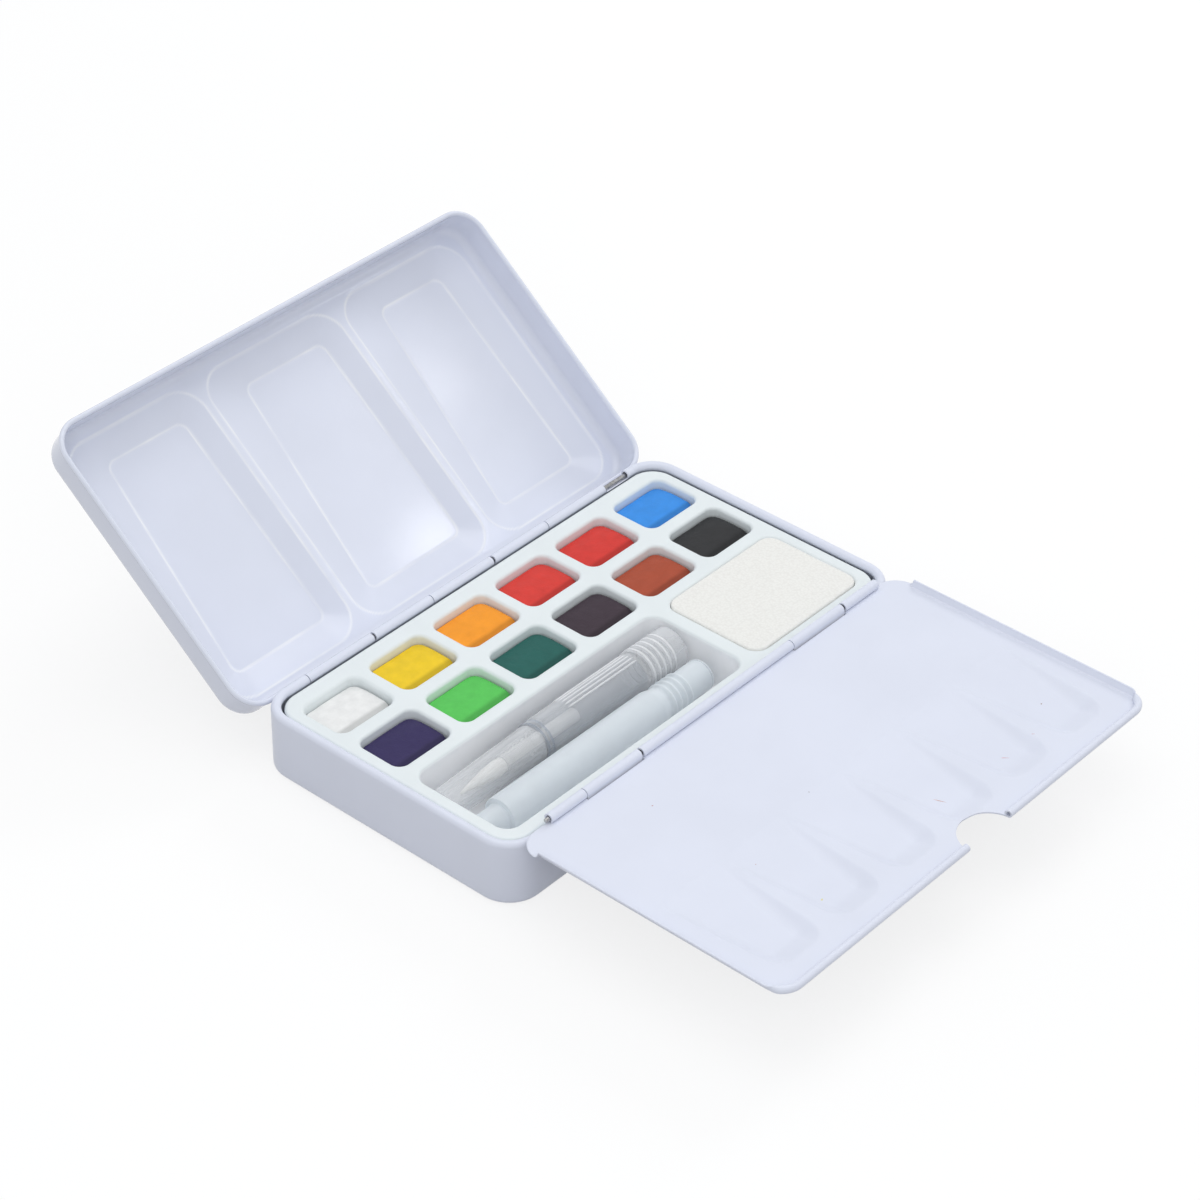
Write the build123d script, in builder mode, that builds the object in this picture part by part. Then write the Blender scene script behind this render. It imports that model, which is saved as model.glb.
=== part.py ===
from build123d import *
import os
from math import cos, radians, sin

os.makedirs("parts", exist_ok=True)

# Watercolour paint set: a pressed tin with a hinged lid and a hinged mixing flap, both shown open.
# The origin is the middle of the tin's underside, +X runs along the hinges, +Y points to the lid.

# Sheet metal, curled edges and hinge wires
sheet = 0.4
curl_radius = 1.3
wire_radius = 0.8
wire_clearance = 0.1
running_gap = 0.35
knuckle_gap = 0.3

# Tin
tin_length = 147.7
tin_width = 84.34
tin_height = 18.5
tin_corner = 9.3
tin_foot_round = 1.5
rim_round = 1.15

# Lid, measured from the back hinge's axis
lid_open_angle = 141.4
lid_side_overhang = 1.45
lid_front_overhang = 2.56
lid_near_edge = 0.2
lid_rim_drop = 2.85
lid_land_depth = 9.7
lid_corner = 8.3
lid_land_round = 3.0
lid_bead = 1.5
lid_bead_stand = 0.4
lid_bead_round = 0.6
lid_well_depth = 2.6
lid_well_slope = 8.5
lid_well_corner = 9.0
lid_well_margin = 3.5
lid_rib = 2.4
lid_rib_position = 25.0

# Back hinge knuckles, from the left end: lid, tin, lid, tin, lid, then bare wire
back_middle_breaks = (-34.55, -12.85, 9.45, 30.75)
back_wire_left_inset = 14.55
back_wire_right_inset = 9.85
back_wire_stub = 2.15
back_bare_length = 9.1
back_bare_margin = 1.75

# Mixing flap, measured from the front hinge's axis
front_hinge_inset = 0.97
front_hinge_rise = 2.15
flap_end_inset = 2.25
flap_back_gap = 2.67
flap_corner = 6.5
flap_flange_height = 2.1
flap_flange_start = 6.5
flap_bead_radius = 1.0
notch_radius = 8.15
notch_x = 5.1

# Front hinge: the tin's two tabs, with the flap's knuckles on the rest of the wire
tin_tabs = ((-47.75, -27.85), (29.85, 50.15))
front_wire_left_inset = 9.75
front_wire_right_inset = 7.4
front_wire_stub = 1.1
front_wire_cover = 0.2

# Slanted wells in the flap
flap_wells = 6
flap_well_side_margin = 5.15
flap_well_outer_margin = 9.2
flap_well_land = 7.5
flap_well_floor_length = 27.5
flap_well_corner = 5.5
flap_well_depth = 4.2
flap_well_spread = 4.2

# Moulded tray
tray_end_gap = 0.65
tray_front_gap = 0.67
tray_back_gap = 2.07
tray_drop = 0.9
tray_plate = 1.2
tray_wall = 1.0
tray_skirt = 1.2
tray_corner = 7.0
tray_edge_round = 0.6
pocket_edge_round = 1.2

# Pockets of the tray
pan_columns = 6
pan_left_margin = 3.35
pan_right_margin = 3.95
pan_back_margin = 4.0
pan_bar = 4.1
pan_row_bar = 4.5
pan_corner = 2.8
pan_depth = 9.0
trough_width = 30.5
trough_front_margin = 3.9
trough_back_bar = 4.3
trough_right_bar = 4.75
trough_depth = 12.1
trough_corner = 4.0
sponge_pocket_depth = 9.0

# Paint cakes
cake_clearance = 0.2
cake_height = 6.8
cake_crown = 2.0
cake_corner = 2.4

# Sponge
sponge_clearance = 0.3
sponge_stand = 0.2

# Water brush head lying in the trough, with its cap on
lying_gap = 0.1
head_back_gap = 1.8
head_end_gap = 1.7
head_socket_radius = 5.9
head_socket_length = 13.8
head_grip_radius = 5.5
head_wall = 0.8
head_collar_radius = 5.3
head_collar_length = 2.4
thread_pitch = 2.0
thread_turns = 4
flute_count = 24
flute_radius = 0.3
spigot_radius = 4.2
spigot_length = 2.6
nose_length = 8.5
nose_base_radius = 3.4
nose_tip_radius = 2.6
feed_radius = 1.9
feed_reach = 13.0
tuft_radius = 2.1
tuft_length = 17.0
tuft_shoulder = 4.0
cap_end_gap = 1.25
cap_length = 32.6
cap_gap = 0.1
cap_end_radius = 4.2
cap_mouth_radius = 5.0
cap_end_round = 0.8

# Water reservoir lying beside it
tank_head_gap = 1.2
tank_end_gap = 2.45
tank_radius = 5.0
tank_wall = 0.7
tank_shoulder = 2.5
neck_radius = 4.3
neck_length = 16.0
neck_end_gap = 4.5
neck_thread_radius = 4.85
stub_radius = 3.6
stub_length = 6.3
plug_flange = 0.6
plug_depth = 3.0
plug_clearance = 0.05

# Places that follow from the sizes above
back_hinge_y = tin_width / 2 - curl_radius
back_hinge_z = tin_height - curl_radius
front_hinge_y = -tin_width / 2 + front_hinge_inset
front_hinge_z = tin_height + front_hinge_rise
rim_bottom = tin_height - 2 * curl_radius
rim_mouth = 2 * curl_radius
bore_radius = wire_radius + wire_clearance
slot_reach = curl_radius + running_gap

# The lid covers the tin, and the flap folds in between the two hinges
lid_bead_length = tin_length + 2 * lid_side_overhang
lid_far_edge = back_hinge_y + tin_width / 2 + lid_front_overhang
flap_length = tin_length - 2 * flap_end_inset
flap_reach = back_hinge_y - front_hinge_y - flap_back_gap
flap_underside = front_hinge_z - curl_radius
flap_top = flap_underside + sheet
flap_middle = front_hinge_y - flap_reach / 2

# Wires, and the knuckles that share them
back_wire_start = -tin_length / 2 + back_wire_left_inset
back_wire_end = tin_length / 2 - back_wire_right_inset
back_bare_end = back_wire_end - back_bare_margin
back_breaks = (
    back_wire_start + back_wire_stub,
    *back_middle_breaks,
    back_bare_end - back_bare_length,
)
front_wire_start = -flap_length / 2 + front_wire_left_inset
front_wire_end = flap_length / 2 - front_wire_right_inset
flap_knuckles = (
    (front_wire_start + front_wire_stub, tin_tabs[0][0]),
    (tin_tabs[0][1], tin_tabs[1][0]),
    (tin_tabs[1][1], front_wire_end + front_wire_cover),
)

# The flap's wells share its length between them
flap_well_run = flap_length - 2 * (flap_well_side_margin + flap_well_spread)
flap_well_pitch = (flap_well_run + flap_well_land) / flap_wells
flap_well_floor_width = flap_well_pitch - flap_well_land
flap_well_end = flap_reach - flap_well_outer_margin - flap_well_spread
flap_well_start = flap_well_end - flap_well_floor_length

# The tray fills the tin's mouth, and the pans fill what the trough leaves of the tray
tray_length = tin_length - 2 * (rim_mouth + tray_end_gap)
tray_front = -tin_width / 2 + rim_mouth + tray_front_gap
tray_back = tin_width / 2 - rim_mouth - tray_back_gap
tray_top = tin_height - tray_drop
pan_left = -tray_length / 2 + pan_left_margin
pan_right = tray_length / 2 - pan_right_margin
pan_pitch = (pan_right - pan_left + pan_bar) / pan_columns
pan_length = pan_pitch - pan_bar
lower_front = tray_front + trough_front_margin
lower_back = lower_front + trough_width
front_row_front = lower_back + trough_back_bar
pan_width = (tray_back - pan_back_margin - front_row_front - pan_row_bar) / 2
back_row_front = front_row_front + pan_width + pan_row_bar
sponge_left = pan_left + (pan_columns - 2) * pan_pitch
sponge_top = tray_top + sponge_stand
trough_right = sponge_left - trough_right_bar
trough_floor = tray_top - trough_depth

# The brush head and the reservoir lie side by side in the trough
head_y = lower_back - head_back_gap - head_socket_radius
head_z = trough_floor + head_socket_radius + lying_gap
head_right = trough_right - head_end_gap
head_socket_start = head_right - head_socket_length
cap_left = pan_left + cap_end_gap
head_collar_start = cap_left + cap_length
head_grip_start = head_collar_start + head_collar_length
feed_end = head_grip_start + feed_reach
tank_y = head_y - head_socket_radius - tank_head_gap - tank_radius
tank_z = trough_floor + tank_radius + lying_gap
tank_left = pan_left + tank_end_gap + stub_length
neck_right = trough_right - neck_end_gap
neck_start = neck_right - neck_length
tank_right = neck_start - tank_shoulder

# The lid's own plane, leaning back on the hinge
lid_tilt = radians(180 - lid_open_angle)
lid_frame = Plane(
    origin=(0, back_hinge_y, back_hinge_z),
    x_dir=(1, 0, 0),
    z_dir=(0, -sin(lid_tilt), cos(lid_tilt)),
)
lid_normal = Axis(lid_frame.origin, lid_frame.z_dir)
lid_opening = lid_frame.offset(-lid_rim_drop)


def rod(radius, start, end, y, z, mode=Mode.ADD):
    """A round bar along X."""
    with Locations(((start + end) / 2, y, z)):
        Cylinder(radius, end - start, rotation=(0, 90, 0), mode=mode)


def taper(start_radius, end_radius, start, end, y, z, mode=Mode.ADD):
    """A round bar along X that changes its radius evenly."""
    with Locations(((start + end) / 2, y, z)):
        Cone(start_radius, end_radius, end - start, rotation=(0, 90, 0), mode=mode)


def block(x_range, y_range, z_range, mode=Mode.ADD):
    """A box between two corners."""
    ranges = (x_range, y_range, z_range)
    sizes = [high - low for low, high in ranges]
    middle = [(high + low) / 2 for low, high in ranges]
    with Locations(tuple(middle)):
        Box(*sizes, mode=mode)


def save(part, name):
    """Write one finished piece under its own name."""
    part.label = name
    export_step(part, f"parts/{name}.step")


# Tin: pressed shell with an inward curled rim, slots for the lid and tabs for the flap
lid_knuckles = (back_breaks[0:2], back_breaks[2:4], back_breaks[4:6])
with BuildPart() as tin_hollow:
    with BuildSketch(Plane.XY.offset(sheet)):
        RectangleRounded(tin_length - 2 * sheet, tin_width - 2 * sheet, tin_corner - sheet)
    extrude(amount=rim_bottom - sheet)
    fillet(tin_hollow.faces().sort_by(Axis.Z)[0].edges(), tin_foot_round - sheet)

with BuildPart() as tin_mouth:
    with BuildSketch(Plane.XY.offset(rim_bottom)):
        RectangleRounded(
            tin_length - 2 * rim_mouth,
            tin_width - 2 * rim_mouth,
            tin_corner - rim_mouth,
        )
    extrude(amount=2 * curl_radius)

with BuildPart() as base_tin:
    with BuildSketch():
        RectangleRounded(tin_length, tin_width, tin_corner)
    extrude(amount=tin_height)
    fillet(base_tin.faces().sort_by(Axis.Z)[0].edges(), tin_foot_round)
    fillet(base_tin.faces().sort_by(Axis.Z)[-1].edges(), rim_round)
    add(tin_hollow.part, mode=Mode.SUBTRACT)
    add(tin_mouth.part, mode=Mode.SUBTRACT)
    fillet(base_tin.faces().filter_by(Plane.XY).sort_by(Axis.Z)[-1].inner_wires()[0].edges(), rim_round)
    slot_y = (back_hinge_y - slot_reach, tin_width / 2 + running_gap)
    slot_z = (back_hinge_z - slot_reach, tin_height + running_gap)
    for start, end in lid_knuckles:
        block((start - knuckle_gap, end + knuckle_gap), slot_y, slot_z, Mode.SUBTRACT)
    bare_z = (back_hinge_z - curl_radius / 2, tin_height + running_gap)
    block((back_breaks[5], back_bare_end), slot_y, bare_z, Mode.SUBTRACT)
    for start, end in tin_tabs:
        rod(curl_radius, start, end, front_hinge_y, front_hinge_z)
        block((start, end), (-tin_width / 2, -tin_width / 2 + 1.5 * sheet), (back_hinge_z, front_hinge_z))
    rod(bore_radius, back_wire_start, back_wire_end, back_hinge_y, back_hinge_z, Mode.SUBTRACT)
    rod(bore_radius, front_wire_start, front_wire_end, front_hinge_y, front_hinge_z, Mode.SUBTRACT)
save(base_tin.part, "base_tin")

# Hinge wires
with BuildPart() as lid_hinge_wire:
    rod(wire_radius, back_wire_start, back_wire_end, back_hinge_y, back_hinge_z)
save(lid_hinge_wire.part, "lid_hinge_wire")

with BuildPart() as flap_hinge_wire:
    rod(wire_radius, front_wire_start, front_wire_end, front_hinge_y, front_hinge_z)
save(flap_hinge_wire.part, "flap_hinge_wire")

# Lid: wall, land and three pressed mixing wells, leaning back on its hinge
lid_middle = (lid_near_edge + lid_far_edge) / 2
lid_reach = lid_far_edge - lid_near_edge - 2 * lid_bead_stand
lid_length = lid_bead_length - 2 * lid_bead_stand
lid_well_near = lid_near_edge + lid_well_margin
lid_well_far = lid_far_edge - lid_well_margin
lid_well_side = lid_bead_length / 2 - lid_well_margin
lid_well_spans = (
    (-lid_well_side, -lid_rib_position - lid_rib / 2),
    (-lid_rib_position + lid_rib / 2, lid_rib_position - lid_rib / 2),
    (lid_rib_position + lid_rib / 2, lid_well_side),
)


def lid_well_blocks(grow):
    """The three wells as solid blocks, larger by grow on every side."""
    with BuildPart() as wells:
        for left, right in lid_well_spans:
            width = right - left + 2 * grow
            length = lid_well_far - lid_well_near + 2 * grow
            place = ((left + right) / 2, (lid_well_near + lid_well_far) / 2)
            with BuildSketch(lid_opening.offset(-lid_land_depth)):
                with Locations(place):
                    RectangleRounded(width, length, lid_well_corner)
            with BuildSketch(lid_opening.offset(-lid_land_depth - lid_well_depth - grow)):
                with Locations(place):
                    RectangleRounded(
                        width - 2 * lid_well_slope,
                        length - 2 * lid_well_slope,
                        lid_well_corner / 2,
                    )
            loft()
    return wells.part


with BuildPart() as lid_hollow:
    with BuildSketch(lid_opening):
        with Locations((0, lid_middle)):
            RectangleRounded(lid_length - 2 * sheet, lid_reach - 2 * sheet, lid_corner - sheet)
    extrude(amount=-lid_land_depth)
    fillet(lid_hollow.faces().sort_by(lid_normal)[0].edges(), lid_land_round)
    add(lid_well_blocks(0))

with BuildPart() as lid_edge:
    with BuildSketch(lid_opening):
        with Locations((0, lid_middle)):
            RectangleRounded(lid_bead_length, lid_far_edge - lid_near_edge, lid_corner)
            RectangleRounded(
                lid_bead_length - 2 * lid_bead,
                lid_far_edge - lid_near_edge - 2 * lid_bead,
                lid_corner - lid_bead,
                mode=Mode.SUBTRACT,
            )
    extrude(amount=-lid_bead)
    fillet(lid_edge.faces().filter_by(lid_normal).edges(), lid_bead_round)

with BuildPart() as lid:
    with BuildSketch(lid_opening.offset(-lid_bead / 2)):
        with Locations((0, lid_middle)):
            RectangleRounded(lid_length, lid_reach, lid_corner)
    extrude(amount=-(lid_land_depth + sheet - lid_bead / 2))
    fillet(lid.faces().sort_by(lid_normal)[0].edges(), lid_land_round + sheet)
    add(lid_well_blocks(sheet))
    add(lid_hollow.part, mode=Mode.SUBTRACT)
    add(lid_edge.part)
    for start, end in lid_knuckles:
        rod(curl_radius, start, end, back_hinge_y, back_hinge_z)
        hinge_section = Plane(
            origin=(start, back_hinge_y, back_hinge_z),
            x_dir=lid_frame.y_dir,
            z_dir=(1, 0, 0),
        )
        with BuildSketch(hinge_section):
            with Locations((curl_radius - sheet, 0)):
                Rectangle(sheet, lid_rim_drop + lid_bead / 2, align=(Align.MIN, Align.MAX))
        extrude(amount=end - start)
        rod(bore_radius, start, end, back_hinge_y, back_hinge_z, Mode.SUBTRACT)
save(lid.part, "lid")

# Mixing flap: a flat leaf with turned-up ends, a curled outer edge, a thumb notch and ramped wells
well_ramp = Plane(
    origin=(0, front_hinge_y - flap_well_start, flap_top),
    x_dir=(-1, 0, 0),
    z_dir=(0, -flap_well_depth, flap_well_floor_length),
)


def flap_well_block(grow):
    """One ramped well as a solid block below the leaf's top, larger by grow on every side."""
    with BuildPart() as well:
        with BuildSketch(well_ramp.offset(-grow)):
            with Locations((0, flap_well_floor_length / 2)):
                RectangleRounded(
                    flap_well_floor_width + 2 * grow,
                    flap_well_floor_length + 2 * grow,
                    flap_well_corner,
                )
        with BuildSketch(well_ramp.offset(flap_well_depth)):
            with Locations((0, flap_well_floor_length / 2)):
                RectangleRounded(
                    flap_well_floor_width + 2 * (flap_well_spread + grow),
                    flap_well_floor_length + 2 * (flap_well_spread + grow),
                    flap_well_corner + flap_well_spread,
                )
        loft()
        split(bisect_by=Plane.XY.offset(flap_top), keep=Keep.BOTTOM)
    return well.part


flap_outer_y = front_hinge_y - flap_reach
well_places = [(flap_well_pitch * (i - (flap_wells - 1) / 2), 0, 0) for i in range(flap_wells)]
with BuildPart() as mixing_flap:
    with BuildSketch(Plane.XY.offset(flap_underside)):
        with Locations((0, flap_middle)):
            RectangleRounded(flap_length, flap_reach, flap_corner)
    extrude(amount=sheet)
    with BuildSketch(Plane.XY.offset(flap_underside)):
        with Locations((0, flap_middle)):
            RectangleRounded(flap_length, flap_reach, flap_corner)
            RectangleRounded(
                flap_length - 2 * sheet,
                flap_reach - 2 * sheet,
                flap_corner - sheet,
                mode=Mode.SUBTRACT,
            )
        with Locations((0, front_hinge_y)):
            Rectangle(flap_length, 2 * flap_flange_start, mode=Mode.SUBTRACT)
    extrude(amount=sheet + flap_flange_height)
    bead_y = flap_outer_y + flap_bead_radius
    bead_z = flap_top + flap_bead_radius
    bead_end = flap_length / 2 - flap_corner
    rod(flap_bead_radius, -bead_end, bead_end, bead_y, bead_z)
    rod(flap_bead_radius - sheet, -bead_end, bead_end, bead_y, bead_z, Mode.SUBTRACT)
    with Locations(*well_places):
        add(flap_well_block(sheet))
    with Locations(*well_places):
        add(flap_well_block(0), mode=Mode.SUBTRACT)
    with Locations((notch_x, flap_outer_y, flap_top)):
        Cylinder(notch_radius, 6 * flap_bead_radius, mode=Mode.SUBTRACT)
    for start, end in tin_tabs:
        block(
            (start - knuckle_gap, end + knuckle_gap),
            (front_hinge_y - slot_reach, front_hinge_y + slot_reach),
            (flap_underside - sheet, flap_top + sheet),
            Mode.SUBTRACT,
        )
    for start, end in flap_knuckles:
        rod(curl_radius, start + knuckle_gap, end - knuckle_gap, front_hinge_y, front_hinge_z)
    rod(bore_radius, front_wire_start, front_wire_end, front_hinge_y, front_hinge_z, Mode.SUBTRACT)
save(mixing_flap.part, "mixing_flap")

# Tray: top plate, skirt and hanging cups for the cakes, the brush parts and the sponge
pockets = []
for row_front in (back_row_front, front_row_front):
    for column in range(pan_columns):
        left = pan_left + column * pan_pitch
        pockets.append((left, left + pan_length, row_front, row_front + pan_width, pan_depth, pan_corner))
pockets.append((pan_left, trough_right, lower_front, lower_back, trough_depth, trough_corner))
pockets.append((sponge_left, pan_right, lower_front, lower_back, sponge_pocket_depth, trough_corner))

tray_middle = (tray_front + tray_back) / 2
tray_width = tray_back - tray_front
with BuildPart() as paint_tray:
    with BuildSketch(Plane.XY.offset(sheet)):
        with Locations((0, tray_middle)):
            RectangleRounded(tray_length, tray_width, tray_corner)
    extrude(amount=tray_top - sheet)
    with BuildSketch(Plane.XY.offset(sheet)):
        with Locations((0, tray_middle)):
            RectangleRounded(
                tray_length - 2 * tray_skirt,
                tray_width - 2 * tray_skirt,
                tray_corner - tray_skirt,
            )
    extrude(amount=tray_top - tray_plate - sheet, mode=Mode.SUBTRACT)
    for left, right, front, back, depth, corner in pockets:
        with BuildSketch(Plane.XY.offset(tray_top - depth - tray_wall)):
            with Locations(((left + right) / 2, (front + back) / 2)):
                RectangleRounded(right - left + 2 * tray_wall, back - front + 2 * tray_wall, corner + tray_wall)
        extrude(amount=depth + tray_wall - tray_plate)
    for left, right, front, back, depth, corner in pockets:
        with BuildSketch(Plane.XY.offset(tray_top)):
            with Locations(((left + right) / 2, (front + back) / 2)):
                RectangleRounded(right - left, back - front, corner)
        extrude(amount=-depth, mode=Mode.SUBTRACT)
    top_face = paint_tray.faces().filter_by(Plane.XY).sort_by(Axis.Z)[-1]
    pocket_edges = [edge for wire in top_face.inner_wires() for edge in wire.edges()]
    fillet(pocket_edges, pocket_edge_round)
    top_face = paint_tray.faces().filter_by(Plane.XY).sort_by(Axis.Z)[-1]
    fillet(top_face.outer_wire().edges(), tray_edge_round)
save(paint_tray.part, "paint_tray")

# Paint cakes: pressed blocks with an arched top, sunk below the tray's top
cake_names = (
    ("white", "yellow", "orange", "scarlet", "crimson", "blue"),
    ("violet", "light_green", "dark_green", "plum", "brown", "black"),
)
cake_length = pan_length - 2 * cake_clearance
cake_width = pan_width - 2 * cake_clearance
for row_names, row_front in zip(cake_names, (back_row_front, front_row_front)):
    for column, colour in enumerate(row_names):
        cake_left = pan_left + column * pan_pitch + cake_clearance
        cake_middle = row_front + pan_width / 2
        cake_floor = tray_top - pan_depth
        shoulder = cake_floor + cake_height - cake_crown
        with BuildPart() as cake:
            with BuildSketch(Plane.YZ.offset(cake_left)):
                with BuildLine():
                    low_back = (cake_middle + cake_width / 2, cake_floor)
                    low_front = (cake_middle - cake_width / 2, cake_floor)
                    top_front = (cake_middle - cake_width / 2, shoulder)
                    top_back = (cake_middle + cake_width / 2, shoulder)
                    Polyline(top_back, low_back, low_front, top_front)
                    ThreePointArc(top_front, (cake_middle, cake_floor + cake_height), top_back)
                make_face()
            extrude(amount=cake_length)
            fillet(cake.edges().filter_by(Axis.Z), cake_corner)
        save(cake.part, f"paint_cake_{colour}")

# Sponge: a soft block that fills its pocket
sponge_floor = tray_top - sponge_pocket_depth
with BuildPart() as sponge:
    with BuildSketch(Plane.XY.offset(sponge_floor)):
        with Locations(((sponge_left + pan_right) / 2, (lower_front + lower_back) / 2)):
            RectangleRounded(
                pan_right - sponge_left - 2 * sponge_clearance,
                lower_back - lower_front - 2 * sponge_clearance,
                trough_corner - sponge_clearance,
            )
    extrude(amount=sponge_top - sponge_floor)
save(sponge.part, "sponge")

# Brush head: clear fluted grip with an open threaded socket, a collar, a spigot and a nose
spigot_start = head_collar_start - spigot_length
nose_start = spigot_start - nose_length
with BuildPart() as brush_grip:
    rod(head_socket_radius, head_socket_start, head_right, head_y, head_z)
    rod(head_grip_radius, head_grip_start, head_socket_start, head_y, head_z)
    rod(head_collar_radius, head_collar_start, head_grip_start, head_y, head_z)
    rod(spigot_radius, spigot_start, head_collar_start, head_y, head_z)
    taper(nose_tip_radius, nose_base_radius, nose_start, spigot_start, head_y, head_z)
    for turn in range(thread_turns):
        ring_start = head_socket_start + (turn + 0.5) * thread_pitch
        rod(head_socket_radius, ring_start, ring_start + thread_pitch / 2, head_y, head_z)
    rod(feed_radius, nose_start, head_grip_start, head_y, head_z, Mode.SUBTRACT)
    rod(head_grip_radius - head_wall, head_grip_start, head_socket_start, head_y, head_z, Mode.SUBTRACT)
    rod(head_socket_radius - head_wall, head_socket_start, head_right, head_y, head_z, Mode.SUBTRACT)
    with Locations(Location((head_grip_start, head_y, head_z), (0, 90, 0))):
        with PolarLocations(head_grip_radius, flute_count):
            Cylinder(
                flute_radius,
                head_socket_start - head_grip_start,
                align=(Align.CENTER, Align.CENTER, Align.MIN),
                mode=Mode.SUBTRACT,
            )
save(brush_grip.part, "brush_grip")

# Fibre feed through the nose and into the grip
tuft_start = nose_start + tuft_shoulder / 2
with BuildPart() as brush_feed:
    rod(feed_radius, tuft_start, feed_end, head_y, head_z)
save(brush_feed.part, "brush_feed")

# Bristle tuft: a short belly that tapers to a point
tuft_belly = tuft_start - tuft_shoulder
tuft_tip = tuft_start - tuft_length
with BuildPart() as brush_tuft:
    rod(feed_radius, nose_start, tuft_start, head_y, head_z)
    taper(tuft_radius, feed_radius, tuft_belly, nose_start, head_y, head_z)
    taper(0.2, tuft_radius, tuft_tip, tuft_belly, head_y, head_z)
save(brush_tuft.part, "brush_tuft")

# Clear cap over the tuft and the nose
cap_right = head_collar_start - cap_gap
with BuildPart() as brush_cap:
    taper(cap_end_radius, cap_mouth_radius, cap_left, cap_right, head_y, head_z)
    fillet(brush_cap.edges().sort_by(Axis.X)[0], cap_end_round)
    taper(
        cap_end_radius - head_wall,
        spigot_radius,
        cap_left + head_wall,
        cap_right,
        head_y,
        head_z,
        Mode.SUBTRACT,
    )
    rod(spigot_radius + cap_gap, spigot_start, cap_right, head_y, head_z, Mode.SUBTRACT)
save(brush_cap.part, "brush_cap")

# Reservoir: soft squeezable barrel with a threaded neck and a closed stub
with BuildPart() as reservoir_barrel:
    rod(tank_radius, tank_left, tank_right, tank_y, tank_z)
    taper(tank_radius, neck_radius, tank_right, neck_start, tank_y, tank_z)
    rod(neck_radius, neck_start, neck_right, tank_y, tank_z)
    rod(stub_radius, tank_left - stub_length, tank_left, tank_y, tank_z)
    for turn in range(thread_turns):
        ring_start = neck_start + (turn + 0.5) * thread_pitch
        rod(neck_thread_radius, ring_start, ring_start + thread_pitch / 2, tank_y, tank_z)
    rod(tank_radius - tank_wall, tank_left + tank_wall, tank_right, tank_y, tank_z, Mode.SUBTRACT)
    taper(
        tank_radius - tank_wall,
        neck_radius - tank_wall,
        tank_right,
        neck_start,
        tank_y,
        tank_z,
        Mode.SUBTRACT,
    )
    rod(neck_radius - tank_wall, neck_start, neck_right, tank_y, tank_z, Mode.SUBTRACT)
save(reservoir_barrel.part, "reservoir_barrel")

# Plug that closes the reservoir's neck
with BuildPart() as reservoir_plug:
    rod(neck_radius - tank_wall - plug_clearance, neck_right - plug_depth, neck_right, tank_y, tank_z)
    rod(neck_radius, neck_right, neck_right + plug_flange, tank_y, tank_z)
save(reservoir_plug.part, "reservoir_plug")
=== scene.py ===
import math

import bmesh
import bpy
import numpy as np
from mathutils import Matrix, Vector, noise


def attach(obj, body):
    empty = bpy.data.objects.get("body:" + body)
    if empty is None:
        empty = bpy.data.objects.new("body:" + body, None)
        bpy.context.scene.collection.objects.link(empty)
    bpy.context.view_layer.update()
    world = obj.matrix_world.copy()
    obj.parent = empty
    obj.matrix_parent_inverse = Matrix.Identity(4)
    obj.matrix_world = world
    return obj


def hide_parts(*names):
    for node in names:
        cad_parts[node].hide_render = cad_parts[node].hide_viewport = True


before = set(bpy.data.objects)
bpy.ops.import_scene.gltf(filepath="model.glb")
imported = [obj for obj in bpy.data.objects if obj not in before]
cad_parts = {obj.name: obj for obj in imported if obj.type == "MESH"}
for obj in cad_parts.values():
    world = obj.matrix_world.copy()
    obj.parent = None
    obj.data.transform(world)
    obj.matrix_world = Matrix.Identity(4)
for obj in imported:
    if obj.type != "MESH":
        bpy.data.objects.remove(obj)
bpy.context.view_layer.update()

# Lengths are in millimetres and become metres when a mesh is made; camera and lamps are in metres
MM = 0.001
STEP = 0.42

# Sheet metal, curls and hinges, as in the CAD model
SHEET = 0.4
CURL = 1.3
BACK_HINGE = (40.87, 17.2)
FRONT_HINGE = (-41.2, 20.65)
LID_TILT = math.radians(180 - 141.4)
LID_COS, LID_SIN = math.cos(LID_TILT), math.sin(LID_TILT)
LID_RIM_DROP = 2.85
BACK_KNUCKLES = ((-57.15, -34.55), (-12.85, 9.45), (30.75, 53.15))
BACK_BARE_END = 62.25
KNUCKLE_GAP = 0.3
OPEN_GAP = 0.5
WIRE = 0.58
FLAP_KNUCKLES = ((-60.75, -47.75), (-27.85, 29.85), (50.15, 64.4))
TIN_TABS = ((-47.75, -27.85), (29.85, 50.15))

# Tin, lid, flap and tray
TIN = {"half_x": 73.85, "half_y": 42.17, "corner": 9.3, "height": 18.5, "foot": 1.5}
LID = {"half_x": 75.3, "near": 0.2, "far": 85.6, "corner": 8.3, "land": 9.7, "round": 2.6}
LID_WELL = {"margin": 4.7, "near_margin": 4.1, "rib": 2.4, "rib_at": 25.0, "depth": 2.7, "corner": 8.0}
LID_MIDDLE, LID_HALF_Y = (LID["near"] + LID["far"]) / 2, (LID["far"] - LID["near"]) / 2
LID_WALL_INSET = 0.95
LID_FLOOR_CORNER = 2.6
LID_FLOOR_NARROWING = (4.6, 1.2)
# Width and strength of the painted highlight along the bends of the lid's wells
BEND_HIGHLIGHT_WIDTH, BEND_HIGHLIGHT_SHARE = 0.40, 0.8
LID_SIDE_SLOPES, LID_END_SLOPE = ((7.0, 5.6), (8.2, 5.6), (8.2, 7.7)), 7.4
FLAP = {"half_x": 71.6, "reach": 79.4, "corner": 6.5, "underside": 19.35, "flange": 2.1}
FLAP_WELL = {
    "count": 6, "pitch": 22.0, "start": 38.5, "end": 72.0, "depth": 2.3, "wall": 4.0,
    "half": 10.3, "narrowing": 1.9, "corner": 4.5, "end_share": 0.68, "ramp": 27.5,
}
NOTCH = {"x": 5.1, "radius": 8.15}
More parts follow.
